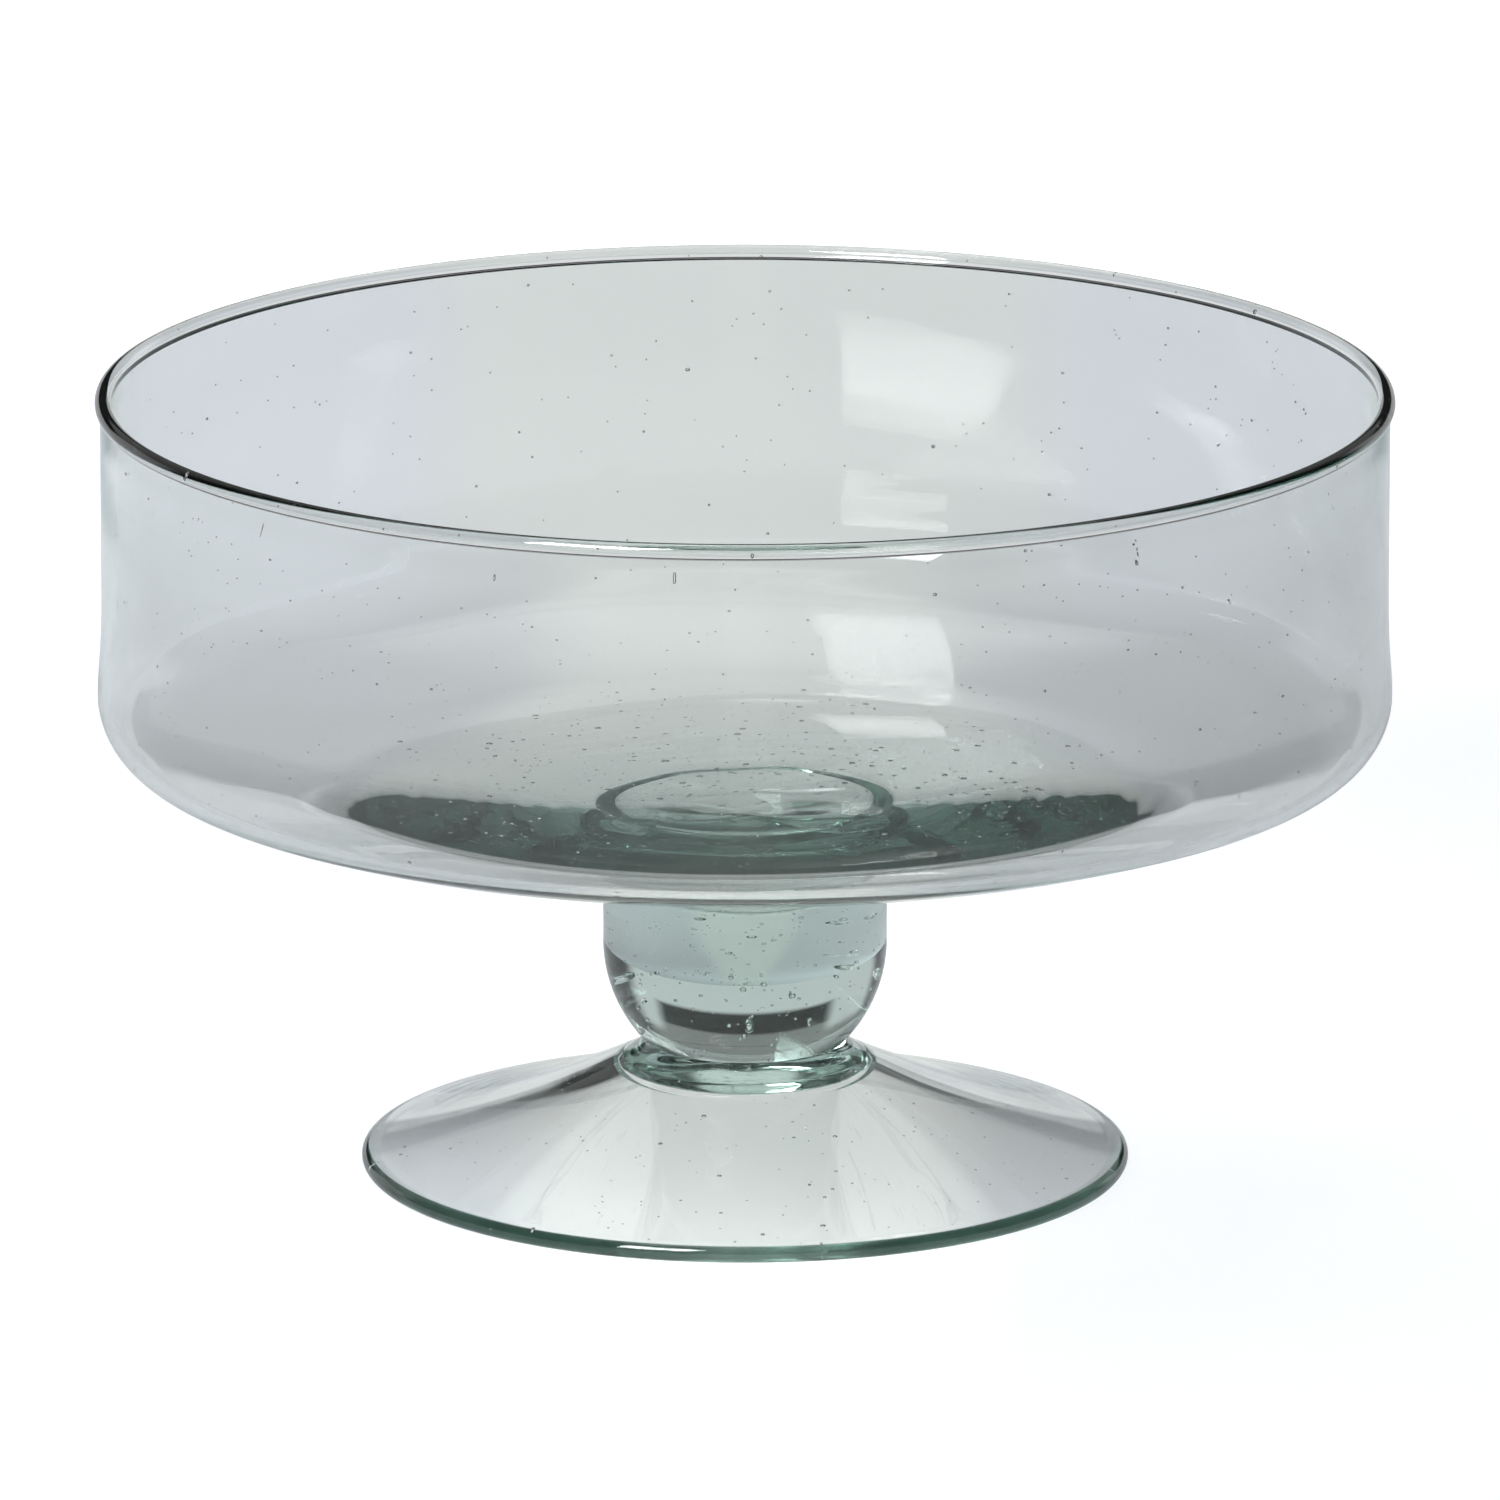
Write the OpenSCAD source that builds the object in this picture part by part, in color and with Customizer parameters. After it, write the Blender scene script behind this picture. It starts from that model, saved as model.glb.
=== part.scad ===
// Footed trifle bowl in pale green glass: a drum-shaped blown bowl with a thick base, a knop that holds
// a pocket of air under the bowl, a collar and a hollow foot.
// Millimetres, +Z up. The origin is on the table, at the centre of the foot's standing ring.

/* [Bowl] */
// Diameter over the rim bead
rim_d = 250; // [220:1:280]
// Height from the table to the top of the rim
overall_h = 153.6; // [140:0.2:170]
// Thickness of the fire-polished rim bead
rim_bead_d = 3.2; // [2.6:0.1:3.6]
// How far the rim bead stands out past the wall
rim_lip = 1.0; // [0.6:0.1:1.4]
// Thickness of the blown wall
wall_t = 2.4; // [2.1:0.1:2.6]
// Height of the shoulder, where the wall turns into the base
shoulder_z = 94.4; // [92:0.2:98]
// How far the wall swells out at the shoulder
shoulder_swell = 0.8; // [0:0.1:2]
// Height over which the swell fades into the straight wall
swell_h = 9; // [6:0.5:14]
// Radius of the corner between wall and base
corner_r = 13.2; // [11:0.1:16]
// Slope of the underside where the corner ends, in degrees
corner_slope = 19.6; // [17:0.2:23]
// Radius of the sweep between the corner and the belly of the underside
sweep_r = 170; // [130:1:230]
// Slope where the sweep ends and the ball-shaped belly begins, in degrees
belly_slope = 15.7; // [15:0.1:16.6]
// Height of the flat bottom inside the bowl
floor_z = 74.6; // [73:0.1:76]
// Radius of the rounding where the flat bottom runs up into the wall
floor_round_r = 80; // [30:5:100]

/* [Knop] */
// Diameter of the knop
knop_d = 54.9; // [48:0.1:62]
// Radius of the fillet where the knop spreads under the bowl
knop_fillet_r = 1.5; // [0.8:0.1:3]
// Thickness of the knop's wall round the air pocket
pocket_wall_t = 2.4; // [2:0.1:6]
// Height of the side of the air pocket
pocket_h = 10; // [9.5:0.5:14]
// Radius of the rounding at the bottom of the air pocket
pocket_round_r = 9; // [4:0.5:9]
// Height at which the knop starts to round in
knop_round_z = 44.5; // [40:0.5:50]

/* [Neck] */
// Diameter at the narrowest place, between knop and collar
neck_d = 39; // [34:0.5:42]
// Height of the narrowest place
neck_z = 25; // [24:0.2:27]
// Slope at which the collar leaves the neck, in degrees
collar_slope = 49.3; // [44:0.1:56]
// Diameter of the collar where it sits on the foot
collar_d = 47.2; // [45:0.2:50]

/* [Foot] */
// Diameter of the foot
foot_d = 148.5; // [130:0.5:165]
// Height of the foot's top, under the collar
foot_top_z = 21.8; // [20:0.2:23]
// Slope of the foot next to the collar, in degrees
foot_slope = 27; // [25:0.5:30]
// Thickness of the rounded edge of the foot
foot_edge_t = 3.55; // [3:0.05:4.5]
// Width of the flat ring that the foot stands on
standing_ring_w = 2; // [1:0.1:4]
// Height of the ceiling of the hollow under the foot
hollow_z = 18.4; // [17:0.1:19]
// Diameter of the ceiling of the hollow under the foot
hollow_d = 48; // [44:0.5:50]

/* [Hidden] */
$fn = 180;
glass_tint = [0.74, 0.85, 0.81, 0.55];

// Number of straight steps in each round stretch
arc_steps = 12;
joint_steps = 4;
swell_steps = 8;
bead_steps = 24;

rim_r = rim_d / 2;
bead_r = rim_bead_d / 2;
bead_centre = [rim_r - bead_r, overall_h - bead_r];
wall_r = rim_r - rim_lip;
shoulder_r = wall_r + shoulder_swell;

// The wall meets the bead from below, outside; inside, it leans onto the bead's inmost point.
bead_start = -acos((wall_r - bead_centre.x) / bead_r);
bead_end = 180;
inner_lean_h = 6;

corner_centre = [shoulder_r - corner_r, shoulder_z];
corner_toe = corner_centre + corner_r * [sin(corner_slope), -cos(corner_slope)];

// Below the corner the underside follows the sweep, then one ball-shaped belly to the axis.
sweep_centre = corner_toe + sweep_r * [-sin(corner_slope), cos(corner_slope)];
sweep_end = sweep_centre + sweep_r * [sin(belly_slope), -cos(belly_slope)];
belly_r = sweep_end.x / sin(belly_slope);
belly_centre = [0, sweep_end.y + belly_r * cos(belly_slope)];

// Inside, the wall keeps its thickness down to the rounding that leads to the flat bottom.
inner_belly_r = belly_r - wall_t;
floor_round_rise = belly_centre.y - floor_z - floor_round_r;
floor_slope = acos(floor_round_rise / (inner_belly_r - floor_round_r));
floor_r = (inner_belly_r - floor_round_r) * sin(floor_slope);

knop_r = knop_d / 2;
joint_r = knop_r + knop_fillet_r;
joint_z = belly_z(joint_r);
pocket_r = knop_r - pocket_wall_t;
pocket_z = belly_z(pocket_r) - pocket_h;

knop_side = [knop_r, knop_round_z];
neck = [neck_d / 2, neck_z];
collar_rim = [collar_d / 2, foot_top_z];

foot_edge_r = foot_edge_t / 2;
foot_brim = [foot_d / 2 - foot_edge_r, foot_edge_t];
standing_r = foot_d / 2 - foot_edge_r;
hollow_mouth = [standing_r - standing_ring_w, 0];
hollow_corner_r = 1.4;
hollow_rim = [hollow_d / 2, hollow_z - hollow_corner_r];
hollow_slope = 15;

// Direction from p to q, in degrees from the outward radius
function heading(p, q) = atan2(q.y - p.y, q.x - p.x);

// The same angle within half a turn of zero
function wrapped(a) = a - 360 * round(a / 360);

// Points of the arc that leaves p in the given direction and ends at q
function bend(p, q, direction, steps = arc_steps) =
    let (turn = 2 * wrapped(heading(p, q) - direction))
    let (r = norm(q - p) / (2 * sin(turn / 2)))
    let (centre = p + r * [-sin(direction), cos(direction)])
    [for (i = [0 : steps]) let (a = direction + turn * i / steps) centre + r * [sin(a), -cos(a)]];

// Points of an arc about a centre
function arc(centre, r, from, to, steps = arc_steps) =
    [for (i = [0 : steps]) let (a = from + (to - from) * i / steps) centre + r * [cos(a), sin(a)]];

// Radius of the outside of the wall at height z: straight, with a soft swell at the shoulder
function wall_at(z) = wall_r + shoulder_swell * exp(-pow((z - shoulder_z) / swell_h, 2));

// Slope and height of the belly at radius r
function slope_at(r) = asin(r / belly_r);
function belly_z(r) = belly_centre.y - belly_r * cos(slope_at(r));

// Points of the belly between two radii
function belly(from_r, to_r, steps) =
    arc(belly_centre, belly_r, slope_at(from_r) - 90, slope_at(to_r) - 90, steps);

// Heights from the shoulder to where the swell has faded
swell_heights = [for (i = [1 : swell_steps]) shoulder_z + 2.2 * swell_h * i / swell_steps];

// Solid of revolution of a profile in radius and height
module turned(profile) {
    color(glass_tint)
        rotate_extrude()
            polygon(profile);
}

// Blown bowl: thick ball-shaped base with a flat bottom inside, rounded corner, thin wall and a round rim
module bowl() {
    outside = concat(
        belly(0, pocket_r, joint_steps),
        belly(pocket_r, joint_r, joint_steps),
        belly(joint_r, sweep_end.x, arc_steps),
        arc(sweep_centre, sweep_r, belly_slope - 90, corner_slope - 90, joint_steps),
        arc(corner_centre, corner_r, corner_slope - 90, 0),
        [for (z = swell_heights) [wall_at(z), z]]
    );
    rim = arc(bead_centre, bead_r, bead_start, bead_end, bead_steps);
    inside = concat(
        [[wall_r - wall_t, bead_centre.y - inner_lean_h]],
        [for (i = [swell_steps - 1 : -1 : 0]) [wall_at(swell_heights[i]) - wall_t, swell_heights[i]]],
        arc(corner_centre, corner_r - wall_t, 0, corner_slope - 90),
        arc(sweep_centre, sweep_r - wall_t, corner_slope - 90, belly_slope - 90, joint_steps),
        arc(belly_centre, inner_belly_r, belly_slope - 90, floor_slope - 90, joint_steps),
        arc([floor_r, floor_z + floor_round_r], floor_round_r, floor_slope - 90, -90),
        [[0, floor_z]]
    );
    turned(concat(outside, rim, inside));
}

// Knop: a drum that rounds in to the neck, with an air pocket in its top and a fillet under the bowl
module knop() {
    turned(concat(
        [[0, neck_z]],
        bend(neck, knop_side, 2 * heading(neck, knop_side) - 90),
        bend([knop_r, joint_z - knop_fillet_r], [joint_r, joint_z], 90),
        belly(joint_r, pocket_r, joint_steps),
        arc([pocket_r - pocket_round_r, pocket_z + pocket_round_r], pocket_round_r, 0, -90),
        [[0, pocket_z]]
    ));
}

// Solid collar: a short flare that joins the knop to the foot
module collar() {
    turned(concat(
        [[0, neck_z]],
        bend(neck, collar_rim, -collar_slope),
        [[0, foot_top_z]]
    ));
}

// Hollow foot: a trumpet with a rounded edge, standing on a narrow flat ring
module foot() {
    turned(concat(
        [[0, foot_top_z]],
        bend(collar_rim, foot_brim, -foot_slope),
        arc([standing_r, foot_edge_r], foot_edge_r, 90, -90),
        bend(hollow_mouth, hollow_rim, 180 - hollow_slope),
        bend(hollow_rim, [hollow_rim.x - hollow_corner_r, hollow_z], 90),
        [[0, hollow_z]]
    ));
}

bowl();
knop();
collar();
foot();
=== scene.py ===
"""Looks of the footed trifle bowl: pale green blown glass with seeds of air in it, on a pale floor
in soft studio light. Profiles are in millimetres, the scene is in metres."""
import math

import bpy
import numpy as np
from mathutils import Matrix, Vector


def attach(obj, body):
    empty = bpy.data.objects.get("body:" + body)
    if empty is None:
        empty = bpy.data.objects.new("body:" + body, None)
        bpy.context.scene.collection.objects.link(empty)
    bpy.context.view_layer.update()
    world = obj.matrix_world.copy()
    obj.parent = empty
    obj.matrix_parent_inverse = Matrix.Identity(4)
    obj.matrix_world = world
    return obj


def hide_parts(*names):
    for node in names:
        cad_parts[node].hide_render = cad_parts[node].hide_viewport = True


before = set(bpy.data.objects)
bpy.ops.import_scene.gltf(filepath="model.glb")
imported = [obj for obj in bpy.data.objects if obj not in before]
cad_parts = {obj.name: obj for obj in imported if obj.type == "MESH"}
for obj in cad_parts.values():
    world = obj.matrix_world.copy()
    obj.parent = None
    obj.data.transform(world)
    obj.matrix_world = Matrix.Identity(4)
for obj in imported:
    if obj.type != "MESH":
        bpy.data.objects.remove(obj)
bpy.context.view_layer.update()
scene = bpy.context.scene
rng = np.random.default_rng(7)

MM = 0.001
TINY = 1e-6
FULL_TURN = 2 * math.pi

# Dimensions of the CAD part; the rim is a hair smaller, so that the glass stays inside the CAD box
RIM_R = 124.95
OVERALL_H = 153.59
BEAD_R = 1.6
WALL_R = 124.0
WALL_T = 2.4
INNER_LEAN_H = 6
SHOULDER_Z = 94.4
SWELL = 0.8
SWELL_H = 9.0
SWELL_REACH = 2.4
CORNER_R = 13.2
CORNER_SLOPE = 19.6
SWEEP_R = 170.0
BELLY_SLOPE = 15.7
BOTTOM_Z = 74.6
BOTTOM_ROUND_R = 80.0
KNOP_R = 27.45
KNOP_FILLET_R = 1.5
KNOP_ROUND_Z = 44.5
POCKET_R = 25.05
POCKET_H = 10.0
POCKET_ROUND_R = 9.0
NECK = (19.5, 25.0)
COLLAR_RIM = (23.6, 21.8)
COLLAR_SLOPE = 49.3
FOOT_R = 74.25
FOOT_EDGE_R = 1.775
FOOT_SLOPE = 27.0
STANDING_RING_W = 2.0
HOLLOW_Z = 18.4
HOLLOW_R = 24.0
HOLLOW_CORNER_R = 1.4
HOLLOW_SLOPE = 15.0

# Half of the gap between two fused pieces, which light crosses without bending
JOINT_GAP = 0.01

# Steps round the axis, and along each stretch of the profiles
SEGMENTS = 240
BELLY_STEPS = 60
SWEEP_STEPS = 5
CORNER_STEPS = 24
SWELL_STEPS = 15
WALL_STEPS = 12
BEAD_STEPS = 28
LEAN_STEPS = 4
INNER_BELLY_STEPS = 12
BOTTOM_STEPS = 20
FUSED_RING_STEPS = 3
FUSED_DISC_STEPS = 6
POCKET_STEPS = 12
POCKET_ROUND_STEPS = 24
KNOP_ROUND_STEPS = 40
KNOP_SIDE_STEPS = 20
FILLET_STEPS = 10
COLLAR_STEPS = 20
FOOT_STEPS = 48
FOOT_EDGE_STEPS = 24
CEILING_STEPS = 12


# Profiles: points of radius and height
def arc(centre, r, start, end, steps):
    """The arc about a centre from one angle to another, in degrees."""
    turn = np.radians(np.linspace(start, end, steps + 1))
    return [(centre[0] + r * math.cos(a), centre[1] + r * math.sin(a)) for a in turn]


def bend(p, q, direction, steps):
    """The arc that leaves p in the given direction and ends at q."""
    half = math.degrees(math.atan2(q[1] - p[1], q[0] - p[0])) - direction
    half -= 360 * round(half / 360)
    r = math.dist(p, q) / (2 * math.sin(math.radians(half)))
    d = math.radians(direction)
    centre = (p[0] - r * math.sin(d), p[1] + r * math.cos(d))
    turn = np.radians(direction + 2 * half * np.linspace(0, 1, steps + 1))
    return [(centre[0] + r * math.sin(a), centre[1] - r * math.cos(a)) for a in turn]


def line(p, q, steps):
    """The straight line from p to q."""
    share = np.linspace(0, 1, steps + 1)
    return [(p[0] + (q[0] - p[0]) * t, p[1] + (q[1] - p[1]) * t) for t in share]


def back(run):
    """The same run from its end to its start."""
    return list(reversed(run))


def polar(slope, r):
    """The way from an arc's centre to its point of the given slope."""
    return (r * math.sin(math.radians(slope)), -r * math.cos(math.radians(slope)))


# The underside: a corner below the wall, a sweep, and one ball-shaped belly to the axis
corner_centre = (WALL_R + SWELL - CORNER_R, SHOULDER_Z)
corner_toe = np.add(corner_centre, polar(CORNER_SLOPE, CORNER_R))
sweep_centre = np.subtract(corner_toe, polar(CORNER_SLOPE, SWEEP_R))
sweep_end = np.add(sweep_centre, polar(BELLY_SLOPE, SWEEP_R))
belly_r = sweep_end[0] / math.sin(math.radians(BELLY_SLOPE))
belly_centre = (0.0, sweep_end[1] + belly_r * math.cos(math.radians(BELLY_SLOPE)))
joint_r = KNOP_R + KNOP_FILLET_R


def slope_at(r):
    return math.degrees(math.asin(r / belly_r))


def belly(from_r, to_r, steps, drop=0.0):
    """The belly between two radii, lowered by the drop."""
    centre = (0.0, belly_centre[1] - drop)
    return arc(centre, belly_r, slope_at(from_r) - 90, slope_at(to_r) - 90, steps)


def belly_point(r, drop=0.0):
    return belly(r, r, 1, drop)[0]


def wall_at(z):
    """Radius of the outside of the wall, with its soft swell at the shoulder."""
    return WALL_R + SWELL * math.exp(-((z - SHOULDER_Z) / SWELL_H) ** 2)


def bowl_profile():
    """Runs of points from the axis, along the underside, over the rim and back to the axis."""
    bead_centre = (RIM_R - BEAD_R, OVERALL_H - BEAD_R)
    bead_start = -math.degrees(math.acos((WALL_R - bead_centre[0]) / BEAD_R))
    bead = arc(bead_centre, BEAD_R, bead_start, 180, BEAD_STEPS)
    faded_z = SHOULDER_Z + SWELL_REACH * SWELL_H
    swell = [(wall_at(z), z) for z in np.linspace(SHOULDER_Z, faded_z, SWELL_STEPS + 1)]
    lean_end = (WALL_R - WALL_T, bead_centre[1] - INNER_LEAN_H)
    inner_r = belly_r - WALL_T
    rise = belly_centre[1] - BOTTOM_Z - BOTTOM_ROUND_R
    bottom_slope = math.degrees(math.acos(rise / (inner_r - BOTTOM_ROUND_R)))
    bottom_r = (inner_r - BOTTOM_ROUND_R) * math.sin(math.radians(bottom_slope))
    round_centre = (bottom_r, BOTTOM_Z + BOTTOM_ROUND_R)
    corner, sweep, bottom = CORNER_SLOPE - 90, BELLY_SLOPE - 90, bottom_slope - 90
    outside = (
        belly(joint_r, sweep_end[0], BELLY_STEPS)
        + arc(sweep_centre, SWEEP_R, sweep, corner, SWEEP_STEPS)
        + arc(corner_centre, CORNER_R, corner, 0, CORNER_STEPS)
        + swell
        + line(swell[-1], bead[0], WALL_STEPS)
        + bead
    )
    inside = (
        line(bead[-1], lean_end, LEAN_STEPS)
        + line(lean_end, (WALL_R - WALL_T, faded_z), WALL_STEPS)
        + [(r - WALL_T, z) for r, z in back(swell)]
        + arc(corner_centre, CORNER_R - WALL_T, 0, corner, CORNER_STEPS)
        + arc(sweep_centre, SWEEP_R - WALL_T, corner, sweep, SWEEP_STEPS)
        + arc(belly_centre, inner_r, sweep, bottom, INNER_BELLY_STEPS)
        + arc(round_centre, BOTTOM_ROUND_R, bottom, -90, BOTTOM_STEPS)
        + line((bottom_r, BOTTOM_Z), (0, BOTTOM_Z), BOTTOM_STEPS)
    )
    return [
        ("skin", belly(0, POCKET_R, POCKET_STEPS)),
        ("joint", belly(POCKET_R, joint_r, FUSED_RING_STEPS)),
        ("skin", outside),
        ("inside", inside),
    ]


def knop_profile():
    """Runs of points from the neck, up the side, over the fused ring and down the air pocket."""
    joint_z = belly_point(joint_r)[1]
    low = (NECK[0], NECK[1] + JOINT_GAP)
    side = (KNOP_R, KNOP_ROUND_Z)
    leaving = 2 * math.degrees(math.atan2(side[1] - NECK[1], side[0] - NECK[0])) - 90
    fillet_start = (KNOP_R, joint_z - KNOP_FILLET_R)
    fillet = bend(fillet_start, (joint_r, joint_z - JOINT_GAP), 90, FILLET_STEPS)
    pocket_top = belly_point(POCKET_R, JOINT_GAP)
    pocket_z = pocket_top[1] - POCKET_H + JOINT_GAP
    pocket_centre = (POCKET_R - POCKET_ROUND_R, pocket_z + POCKET_ROUND_R)
    outside = (
        bend(low, side, leaving, KNOP_ROUND_STEPS)
        + line(side, fillet[0], KNOP_SIDE_STEPS)
        + fillet
    )
    pocket = (
        [pocket_top]
        + arc(pocket_centre, POCKET_ROUND_R, 0, -90, POCKET_ROUND_STEPS)
        + line((pocket_centre[0], pocket_z), (0, pocket_z), POCKET_STEPS)
    )
    return [
        ("joint", line((0, low[1]), low, FUSED_DISC_STEPS)),
        ("skin", outside),
        ("joint", belly(joint_r, POCKET_R, FUSED_RING_STEPS, JOINT_GAP)),
        ("inside", pocket),
    ]


def collar_profile():
    """Runs of points from the foot, up the flare to the neck."""
    top = (NECK[0], NECK[1] - JOINT_GAP)
    low = (COLLAR_RIM[0], COLLAR_RIM[1] + JOINT_GAP)
    return [
        ("joint", line((0, low[1]), low, FUSED_DISC_STEPS)),
        ("skin", back(bend(top, low, -COLLAR_SLOPE, COLLAR_STEPS))),
        ("joint", line(top, (0, top[1]), FUSED_DISC_STEPS)),
    ]


def foot_profile():
    """Runs of points from the hollow's ceiling, under the standing ring and up to the collar."""
    top = (COLLAR_RIM[0], COLLAR_RIM[1] - JOINT_GAP)
    standing_r = FOOT_R - FOOT_EDGE_R
    brim = (standing_r, 2 * FOOT_EDGE_R)
    mouth = (standing_r - STANDING_RING_W, 0.0)
    hollow_rim = (HOLLOW_R, HOLLOW_Z - HOLLOW_CORNER_R)
    ceiling_rim = (HOLLOW_R - HOLLOW_CORNER_R, HOLLOW_Z)
    hollow_corner = bend(hollow_rim, ceiling_rim, 90, FILLET_STEPS)
    hollow = (
        line((0, HOLLOW_Z), hollow_corner[-1], CEILING_STEPS)
        + back(hollow_corner)
        + back(bend(mouth, hollow_rim, 180 - HOLLOW_SLOPE, FOOT_STEPS))
    )
    outside = (
        arc((standing_r, FOOT_EDGE_R), FOOT_EDGE_R, -90, 90, FOOT_EDGE_STEPS)
        + back(bend(top, brim, -FOOT_SLOPE, FOOT_STEPS))
    )
    return [
        ("inside", hollow),
        ("skin", outside),
        ("joint", line(top, (0, top[1]), FUSED_DISC_STEPS)),
    ]


# Hand-blown unevenness: soft waves that fade out at the joints, the rim and the standing ring,
# and turning marks under the base. Depths and places are in millimetres.
OUTER_DEPTH, OUTER_REACH = 0.04, 3
INNER_DEPTH = 0.10
MARK_DEPTH, MARK_REACH = 0.007, 6
OUTER_FROM_R, OUTER_FROM_Z = (34, 54), (8, 16)
OUTER_TO_RIM = (OVERALL_H - 4, OVERALL_H - 24)
INNER_FROM_Z = (6, 14)
INNER_TO_RIM = (OVERALL_H - 6, OVERALL_H - 26)
MARKS_FROM_R, MARKS_TO_R, MARKS_ABOVE_Z = (31, 35), (96, 76), 50
CALM_R = 12


def draw_waves(count, turns, rate, falling):
    """Waves by chance: turns round the axis, rate along the profile, two phases and a size."""
    return [
        (
            int(rng.integers(0, turns + 1)),
            rng.uniform(*rate),
            *rng.uniform(0, FULL_TURN, 2),
            falling ** i,
        )
        for i in range(count)
    ]


INNER_WAVES = draw_waves(9, 5, (0.02, 0.09), 0.9)
OUTER_WAVES = draw_waves(9, 7, (0.02, 0.07), 0.9)
TURNING_MARKS = draw_waves(14, 9, (0.4, 2.2), 0.95)


def ripple(angle, along, waves):
    total = np.zeros_like(angle)
    for turns, rate, phase, shift, size in waves:
        total += size * np.cos(turns * angle + phase) * np.cos(rate * along + shift)
    return total


def ramp(value, span):
    """0 at the span's start, 1 at its end, straight between."""
    return np.clip((value - span[0]) / (span[1] - span[0]), 0, 1)


def uneven(kind, r, z, angle):
    """How far the surface stands out of its profile; below 0 it is pressed into the glass."""
    if kind == "inside":
        wave = ripple(angle, r + z, INNER_WAVES)
        return INNER_DEPTH * wave * ramp(z, INNER_TO_RIM) * ramp(z, INNER_FROM_Z)
    wave = 1 + ripple(angle, r + z, OUTER_WAVES) / OUTER_REACH
    wavy = ramp(r, OUTER_FROM_R) * ramp(z, OUTER_TO_RIM) * ramp(z, OUTER_FROM_Z)
    mark = MARK_REACH + ripple(angle, r, TURNING_MARKS)
    marked = ramp(r, MARKS_FROM_R) * ramp(r, MARKS_TO_R) * (z > MARKS_ABOVE_Z)
    return -OUTER_DEPTH * wave * wavy - MARK_DEPTH * mark * marked


# Seeds of air: radii and clearances in millimetres
SEED_TRIES = 60000
SEED_SMALLNESS = 2.5
SEED_STRETCH = (0.9, 1.5)
SEED_HEIGHT = 0.9
SEED_CLEARANCE, SEED_SKIN = 2.5, 0.1
SEED_ROWS, SEED_COLUMNS = 4, 6


def outline_of(runs):
    """The runs as one line of points, and the kind of each step between two of them."""
    points, kinds = [], []
    for kind, run in runs:
        for p in run:
            if points and math.dist(points[-1], p) < TINY:
                continue
            if points:
                kinds.append(kind)
            points.append((max(float(p[0]), 0.0), float(p[1])))
    return np.array(points), kinds


def depth_in(outline, spots):
    """Distance from each spot to the outline, negative outside it."""
    a, b = outline[:-1], outline[1:]
    edge = b - a
    r, z = spots[:, :1], spots[:, 1:]
    level = np.where(edge[:, 1] == 0, 1, edge[:, 1])
    spanned = (a[:, 1] > z) != (b[:, 1] > z)
    crossed = spanned & (r < edge[:, 0] * (z - a[:, 1]) / level + a[:, 0])
    along = (r - a[:, 0]) * edge[:, 0] + (z - a[:, 1]) * edge[:, 1]
    t = np.clip(along / np.maximum((edge**2).sum(1), TINY**2), 0, 1)
    gap = np.hypot(a[:, 0] + t * edge[:, 0] - r, a[:, 1] + t * edge[:, 1] - z).min(1)
    return np.where(crossed.sum(1) % 2 == 1, gap, -gap)


def seeds_in(outline, count, sizes):
    """Seeds spread by chance through the glass: place, turn, radius and stretch of each."""
    low, high = outline.min(0), outline.max(0)
    r = np.sqrt(rng.uniform(low[0] ** 2, high[0] ** 2, SEED_TRIES))
    z = rng.uniform(low[1], high[1], SEED_TRIES)
    growth = rng.random(SEED_TRIES) ** SEED_SMALLNESS
    size = sizes[0] * (sizes[1] / sizes[0]) ** growth
    turn = rng.uniform(0, FULL_TURN, SEED_TRIES)
    stretch = rng.uniform(*SEED_STRETCH, SEED_TRIES)
    depth = depth_in(outline, np.stack([r, z], axis=1))
    room = depth > SEED_CLEARANCE * size + SEED_SKIN
    return list(zip(r[room], z[room], turn[room], size[room], stretch[room]))[:count]


def ball(rows, columns):
    """Points and faces of a unit ball whose faces look inwards."""
    points = [(0, 0, 1)]
    for i in range(1, rows):
        t = math.pi * i / rows
        for k in range(columns):
            p = FULL_TURN * k / columns
            points.append((math.sin(t) * math.cos(p), math.sin(t) * math.sin(p), math.cos(t)))
    points.append((0, 0, -1))
    faces = []
    for k in range(columns):
        n = (k + 1) % columns
        faces.append((0, 1 + n, 1 + k))
        for i in range(rows - 2):
            a, b = 1 + i * columns, 1 + (i + 1) * columns
            faces.append((a + k, a + n, b + n, b + k))
        last = 1 + (rows - 2) * columns
        faces.append((last + k, last + n, len(points) - 1))
    return np.array(points), faces


def seed_balls(seeds, first):
    """Points and faces of the seeds, numbered from the first free point."""
    unit, unit_faces = ball(SEED_ROWS, SEED_COLUMNS)
    points, faces = [], []
    for r, z, turn, size, stretch in seeds:
        start = first + len(points)
        local = unit * size * np.array([1, stretch, SEED_HEIGHT])
        c, s = math.cos(turn), math.sin(turn)
        x, y = r + local[:, 0], local[:, 1]
        points.extend(zip(x * c - y * s, x * s + y * c, z + local[:, 2]))
        faces.extend(tuple(start + i for i in face) for face in unit_faces)
    return points, faces


# Meshes
GLASS_IOR, FUSED_IOR = 1.52, 1.0
IOR_ATTRIBUTE = "ior"
SHARP_DEGREES = 35


def kinds_of_points(kinds):
    """A point where two kinds of surface meet stays in place, as a joint does."""
    between = [b if a == b else "joint" for a, b in zip(kinds, kinds[1:])]
    return [kinds[0], *between, kinds[-1]]


def band(a, b):
    """Faces between two rings of points, of which one may be a single point on the axis."""
    faces = []
    for k in range(SEGMENTS):
        n = (k + 1) % SEGMENTS
        if len(a) == 1:
            faces.append((a[0], b[n], b[k]))
        elif len(b) == 1:
            faces.append((a[k], a[n], b[0]))
        else:
            faces.append((a[k], a[n], b[n], b[k]))
    return faces


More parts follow.
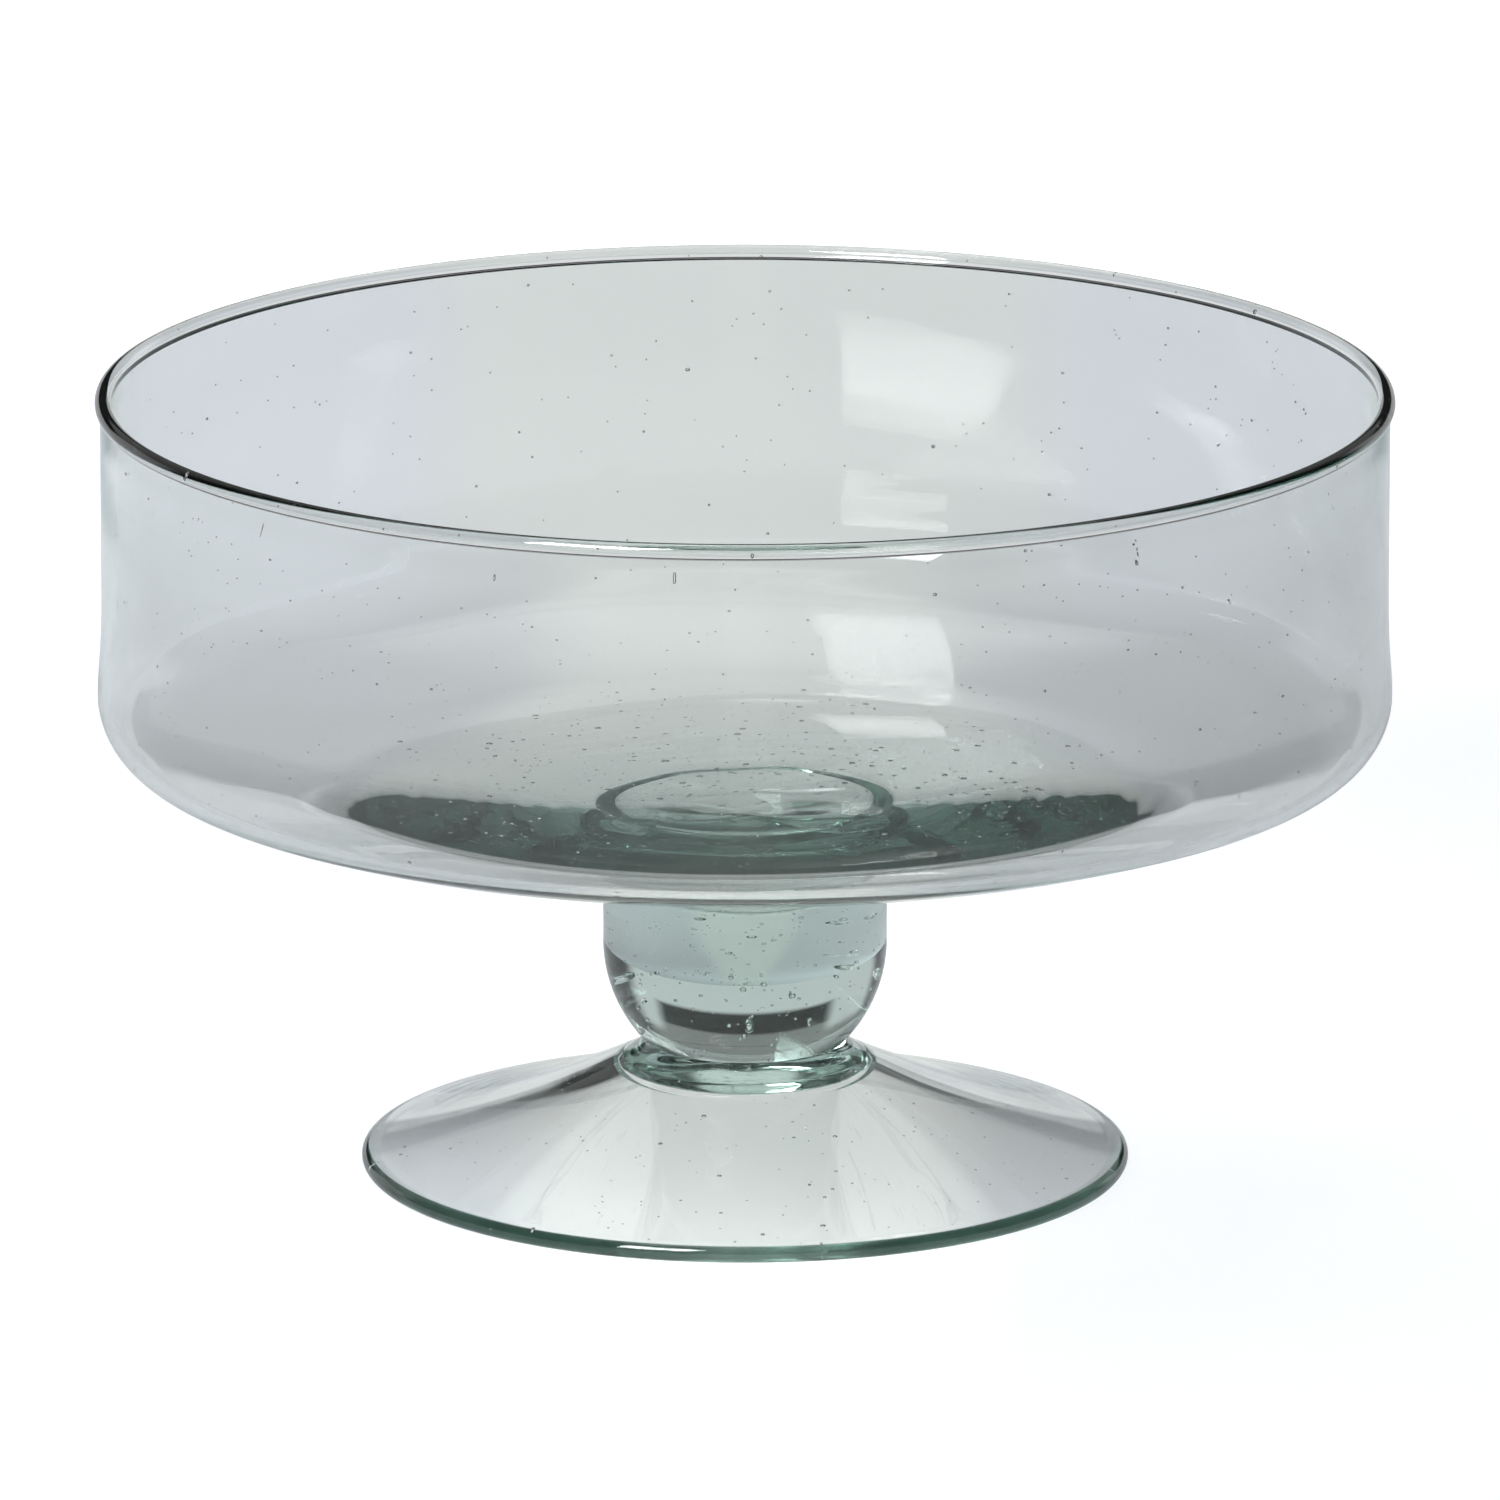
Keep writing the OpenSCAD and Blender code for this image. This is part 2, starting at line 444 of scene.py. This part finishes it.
def turned(outline, kinds):
    """Points and faces of the uneven outline turned about the axis, and which faces are fused."""
    angle = FULL_TURN * np.arange(SEGMENTS) / SEGMENTS
    tangent = np.gradient(outline, axis=0)
    tangent /= np.maximum(np.hypot(tangent[:, 0], tangent[:, 1]), TINY)[:, None]
    normal = np.stack([tangent[:, 1], -tangent[:, 0]], axis=1)
    points, rings = [], []
    for (r, z), n, kind in zip(outline, normal, kinds_of_points(kinds)):
        if r < TINY:
            rings.append([len(points)])
            points.append((0, 0, z))
            continue
        push = np.zeros(SEGMENTS)
        if kind != "joint":
            push = uneven(kind, np.full(SEGMENTS, r), z, angle) * min(1.0, r / CALM_R)
        rr, zz = r + push * n[0], z + push * n[1]
        rings.append(list(range(len(points), len(points) + SEGMENTS)))
        points.extend(zip(rr * np.cos(angle), rr * np.sin(angle), zz))
    faces, fused = [], []
    for low, high, kind in zip(rings, rings[1:], kinds):
        faces.extend(band(low, high))
        fused.extend([kind == "joint"] * SEGMENTS)
    return points, faces, fused


def shade_smooth(mesh, body_points):
    """Smooth shading that keeps the body's own edges sharp and leaves the seeds round."""
    mesh.polygons.foreach_set("use_smooth", [True] * len(mesh.polygons))
    mesh.set_sharp_from_angle(angle=math.radians(SHARP_DEGREES))
    ends = np.empty(2 * len(mesh.edges), dtype=np.int32)
    mesh.edges.foreach_get("vertices", ends)
    sharp = np.empty(len(mesh.edges), dtype=bool)
    mesh.edges.foreach_get("use_edge_sharp", sharp)
    mesh.edges.foreach_set("use_edge_sharp", sharp & (ends[::2] < body_points))


def blown(name, runs, seeds):
    """A closed turned piece with its seeds as small inward balls in the same mesh."""
    points, faces, fused = turned(*outline_of(runs))
    seed_points, seed_faces = seed_balls(seeds, len(points))
    mesh = bpy.data.meshes.new(name)
    mesh.from_pydata((np.array(points + seed_points) * MM).tolist(), [], faces + seed_faces)
    shade_smooth(mesh, len(points))
    fused.extend([False] * len(seed_faces))
    ior = mesh.attributes.new(IOR_ATTRIBUTE, "FLOAT", "FACE")
    ior.data.foreach_set("value", np.where(fused, FUSED_IOR, GLASS_IOR).astype(np.float32))
    obj = bpy.data.objects.new(name, mesh)
    scene.collection.objects.link(obj)
    return obj


# Materials
class Graph:
    """Short ways to add nodes to the tree of a material or world."""

    def __init__(self, owner):
        owner.use_nodes = True
        self.nodes, self.links = owner.node_tree.nodes, owner.node_tree.links

    def add(self, kind):
        return self.nodes.new("ShaderNode" + kind)

    def put(self, value, socket):
        """Link an output to the socket, or set the socket to a constant."""
        if isinstance(value, bpy.types.NodeSocket):
            self.links.new(value, socket)
        else:
            socket.default_value = value

    def axes(self, kind, output):
        """The x, y and z of a vector that a node gives."""
        split = self.add("SeparateXYZ")
        self.links.new(self.add(kind).outputs[output], split.inputs[0])
        return split.outputs

    def compute(self, operation, *values):
        node = self.add("Math")
        node.operation = operation
        for value, socket in zip(values, node.inputs):
            self.put(value, socket)
        return node.outputs[0]

    def product(self, first, *others):
        for other in others:
            first = self.compute("MULTIPLY", first, other)
        return first

    def fade(self, value, span):
        """0 at the span's start, 1 at its end, smooth between."""
        node = self.add("MapRange")
        node.interpolation_type = "SMOOTHSTEP"
        self.links.new(value, node.inputs["Value"])
        node.inputs["From Min"].default_value = span[0]
        node.inputs["From Max"].default_value = span[1]
        return node.outputs[0]

    def blend(self, factor, near, far):
        """The near colour where the factor is 0, the far colour where it is 1."""
        node = self.add("Mix")
        node.data_type = "RGBA"
        self.links.new(factor, node.inputs["Factor"])
        for name, colour in (("A", near), ("B", far)):
            self.put(colour, next(s for s in node.inputs if s.name == name and s.type == "RGBA"))
        return next(s for s in node.outputs if s.type == "RGBA")


WHITE = (1, 1, 1, 1)
TINT = (0.0, 0.31, 0.21, 1)
STREAK_DEPTH = 0.00002
STREAK_DETAIL = 2.0


def glass(name, density, streak_scale):
    """Clear glass, greener the deeper it is, with soft streaks in its surface. The refractive
    index comes from the mesh, because fused faces don't bend the light."""
    material = bpy.data.materials.new(name)
    graph = Graph(material)
    skin = graph.nodes["Principled BSDF"].inputs
    skin["Base Color"].default_value = WHITE
    skin["Roughness"].default_value = 0.0
    skin["Transmission Weight"].default_value = 1.0
    skin["IOR"].default_value = GLASS_IOR
    ior = graph.add("Attribute")
    ior.attribute_name = IOR_ATTRIBUTE
    graph.links.new(ior.outputs["Fac"], skin["IOR"])

    stretch = graph.add("Mapping")
    stretch.inputs["Scale"].default_value = streak_scale
    noise = graph.add("TexNoise")
    noise.inputs["Scale"].default_value = 1.0
    noise.inputs["Detail"].default_value = STREAK_DETAIL
    bump = graph.add("Bump")
    bump.inputs["Strength"].default_value = 1.0
    bump.inputs["Distance"].default_value = STREAK_DEPTH
    graph.links.new(graph.add("TexCoord").outputs["Object"], stretch.inputs["Vector"])
    graph.links.new(stretch.outputs["Vector"], noise.inputs["Vector"])
    graph.links.new(noise.outputs["Fac"], bump.inputs["Height"])
    graph.links.new(bump.outputs["Normal"], skin["Normal"])

    depth = graph.add("VolumeAbsorption")
    depth.inputs["Color"].default_value = TINT
    depth.inputs["Density"].default_value = density
    graph.links.new(depth.outputs["Volume"], graph.nodes["Material Output"].inputs["Volume"])
    return material


# The pieces: CAD node, material slot, profile, glass, number of seeds and range of their radii
bowl_glass = glass("clear_bowl", 21.0, (30, 30, 80))
stem_glass = glass("deep_stem", 11.0, (40, 40, 160))
foot_glass = glass("clear_foot", 14.0, (30, 30, 80))
PIECES = [
    ("bowl", "bowl_glass", bowl_profile(), bowl_glass, 1800, (0.16, 0.7)),
    ("knop", "stem_glass", knop_profile(), stem_glass, 400, (0.14, 0.45)),
    ("collar", "stem_glass", collar_profile(), stem_glass, 10, (0.12, 0.3)),
    ("foot", "foot_glass", foot_profile(), foot_glass, 400, (0.15, 0.45)),
]
for node, slot, runs, material, count, sizes in PIECES:
    outline, _ = outline_of(runs)
    piece = blown(node + "_blown", runs, seeds_in(outline, count, sizes))
    piece.data.materials.append(material)
    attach(piece, "root")
    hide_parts(node)


# Floor: pale, with painted shade in its colour near the bowl, deepest at the sides, so that it is
# paler in a strip down the middle and far behind. Lengths are in metres.
FLOOR_R, FLOOR_SIDES, FLOOR_DROP = 1.2, 96, 0.0002
FLOOR_ROUGHNESS = 0.9
# Painted shade: the near colours are darker than the far ones, and the near sides darkest.
SHADED_NEAR_MIDDLE, SHADED_NEAR_SIDES = (0.74, 0.76, 0.75, 1), (0.60, 0.625, 0.655, 1)
FAR_MIDDLE, FAR_SIDES = (0.85, 0.89, 0.88, 1), (0.82, 0.86, 0.92, 1)
NEAR_STRIP_X, FAR_STRIP_X, FAR_FROM_Y = (0.03, 0.055), (0.055, 0.085), (0.3, 0.6)
CAMERA_LIFT, FAR_CAMERA_LIFT, GLASS_LIFT = 0.47, 0.15, 0.05


def floor_paint():
    """Matt paint with painted shade near the bowl, deepest at the sides, lifted to white for the
    camera and a little for the glass.
    """
    paint = bpy.data.materials.new("pale_floor")
    graph = Graph(paint)
    x, y, _ = graph.axes("NewGeometry", "Position")
    aside, distant = graph.compute("ABSOLUTE", x), graph.fade(y, FAR_FROM_Y)
    # Painted shade near the bowl, deeper at the sides than in the middle strip.
    near = graph.blend(graph.fade(aside, NEAR_STRIP_X), SHADED_NEAR_MIDDLE, SHADED_NEAR_SIDES)
    far = graph.blend(graph.fade(aside, FAR_STRIP_X), FAR_MIDDLE, FAR_SIDES)
    ray = graph.add("LightPath").outputs
    through = graph.compute("MAXIMUM", ray["Is Glossy Ray"], ray["Is Transmission Ray"])
    whiter = graph.compute("ADD", graph.product(distant, FAR_CAMERA_LIFT), CAMERA_LIFT)
    seen = graph.product(ray["Is Camera Ray"], whiter)
    lift = graph.compute("ADD", seen, graph.product(through, GLASS_LIFT))
    board = graph.nodes["Principled BSDF"].inputs
    board["Roughness"].default_value = FLOOR_ROUGHNESS
    board["Specular IOR Level"].default_value = 0.0
    board["Emission Color"].default_value = WHITE
    graph.links.new(graph.blend(distant, near, far), board["Base Color"])
    graph.links.new(lift, board["Emission Strength"])
    return paint


def add_floor():
    turn = np.linspace(0, FULL_TURN, FLOOR_SIDES, endpoint=False)
    ring = [(FLOOR_R * math.cos(a), FLOOR_R * math.sin(a), -FLOOR_DROP) for a in turn]
    mesh = bpy.data.meshes.new("floor")
    mesh.from_pydata(ring, [], [tuple(range(FLOOR_SIDES))])
    mesh.materials.append(floor_paint())
    floor = bpy.data.objects.new("floor", mesh)
    scene.collection.objects.link(floor)


# Room that the glass shows. Its parts begin and end at these components of the direction:
# nothing of the part at the first number, all of it at the second.
BACKDROP = (0.77, 0.78, 0.79, 1)
UPPER_WALL = (0.28, 0.28, 0.28, 1)
OVERHEAD = (1.15, 1.15, 1.15, 1)
FRONT = (0.20, 0.20, 0.20, 1)
ROOM = (0.03, 0.03, 0.03, 1)
BEHIND_Y, BEHIND_LEAN = (0.55, 0.7), -0.12
BACKDROP_TOP_Z = (0.15, 0.115)
WINGS_X, WINGS_TOP_Z = (0.45, 0.55), (0.4, 0.3)
UPPER_WALL_Z = (0.27, 0.30)
OVERHEAD_X, OVERHEAD_Y, OVERHEAD_Z = (0.35, 0.2), (-0.2, 0.0), (0.58, 0.72)
FRONT_Y, FRONT_TOP_Z = (-0.5, -0.7), (0.4, 0.3)


def add_room():
    """A bright low backdrop with higher wings, a dark gap and a dim wall above it, a pale ceiling,
    a dim front and darkness elsewhere. The camera itself sees white."""
    scene.world = bpy.data.worlds.new("studio")
    graph = Graph(scene.world)
    x, y, z = graph.axes("TexCoord", "Generated")
    aside = graph.compute("ABSOLUTE", x)
    behind = graph.fade(graph.compute("ADD", y, graph.product(x, BEHIND_LEAN)), BEHIND_Y)
    wings = graph.product(graph.fade(aside, WINGS_X), graph.fade(z, WINGS_TOP_Z))
    backdrop = graph.compute("MAXIMUM", graph.fade(z, BACKDROP_TOP_Z), wings)
    ceiling = graph.product(graph.fade(z, OVERHEAD_Z), graph.fade(aside, OVERHEAD_X))
    colour = ROOM
    for share, paint in (
        (graph.product(graph.fade(y, FRONT_Y), graph.fade(z, FRONT_TOP_Z)), FRONT),
        (graph.product(behind, graph.fade(z, UPPER_WALL_Z)), UPPER_WALL),
        (graph.product(ceiling, graph.fade(y, OVERHEAD_Y)), OVERHEAD),
        (graph.product(behind, backdrop), BACKDROP),
        (graph.add("LightPath").outputs["Is Camera Ray"], WHITE),
    ):
        colour = graph.blend(share, colour, paint)
    graph.links.new(colour, graph.nodes["Background"].inputs["Color"])


# Lamps, in metres and watts. The key light has one part that casts the shadow, one that passes
# the clear glass, and panes that only show in the glass.
LAMP_TARGET = (0, 0, 0.1)
KEY_PLACE, KEY_SIZE = (-0.97, -1.77, 1.6), (0.85, 1.1)
KEY_UP = Vector((0.29, 0.53, 0.80))
KEY_SHADOW_POWER, KEY_THROUGH_POWER = 10, 31
FILL_PLACE, FILL_SIZE, FILL_POWER = (-1.5, 0.2, 1.2), (1.0, 1.0), 22
PANE_NEARNESS = 0.95
PANES = [("pane_main", 0.0, 1.1, 70), ("pane_low", -0.70, 0.11, 4)]


def softbox(name, place, size, power):
    lamp = bpy.data.lights.new(name, "AREA")
    lamp.shape = "RECTANGLE"
    lamp.size, lamp.size_y = size
    lamp.energy = power
    obj = bpy.data.objects.new(name, lamp)
    obj.location = place
    way = Vector(LAMP_TARGET) - Vector(place)
    obj.rotation_euler = way.to_track_quat("-Z", "Y").to_euler()
    scene.collection.objects.link(obj)
    return obj


def unmirrored(lamp, shadow):
    """A lamp that lights the floor without showing in the glass."""
    lamp.visible_glossy = False
    lamp.visible_transmission = False
    lamp.data.use_shadow = shadow


def add_lamps():
    unmirrored(softbox("key_shadow", KEY_PLACE, KEY_SIZE, KEY_SHADOW_POWER), True)
    unmirrored(softbox("key_through", KEY_PLACE, KEY_SIZE, KEY_THROUGH_POWER), False)
    unmirrored(softbox("fill_left", FILL_PLACE, FILL_SIZE, FILL_POWER), False)
    for name, rise, height, power in PANES:
        place = PANE_NEARNESS * Vector(KEY_PLACE) + rise * KEY_UP
        pane = softbox(name, place, (KEY_SIZE[0], height), power)
        pane.visible_diffuse = False


# Camera of the photograph, fitted to the outline
ELEVATION = math.radians(14.425)
DISTANCE = 4.1904
AIM_Z = 0.082225
IMAGE_PX, FOCAL_PX, SIDE_PX = 1500, 21721.8, 5.0
SENSOR_MM = 36
CLIP_END = 100


def add_camera():
    camera = bpy.data.cameras.new("camera")
    camera.sensor_width = SENSOR_MM
    camera.lens = FOCAL_PX * SENSOR_MM / IMAGE_PX
    camera.clip_end = CLIP_END
    eye = bpy.data.objects.new("camera", camera)
    eye.location = (
        SIDE_PX * DISTANCE / FOCAL_PX,
        -DISTANCE * math.cos(ELEVATION),
        AIM_Z + DISTANCE * math.sin(ELEVATION),
    )
    eye.rotation_euler = (math.pi / 2 - ELEVATION, 0, 0)
    scene.collection.objects.link(eye)
    scene.camera = eye


# Light goes through many faces of glass before it leaves the bowl
GLASS_BOUNCES = 128

add_floor()
add_room()
add_lamps()
add_camera()
scene.view_settings.view_transform = "Standard"
scene.cycles.max_bounces = GLASS_BOUNCES
scene.cycles.transmission_bounces = GLASS_BOUNCES
scene.cycles.glossy_bounces = GLASS_BOUNCES
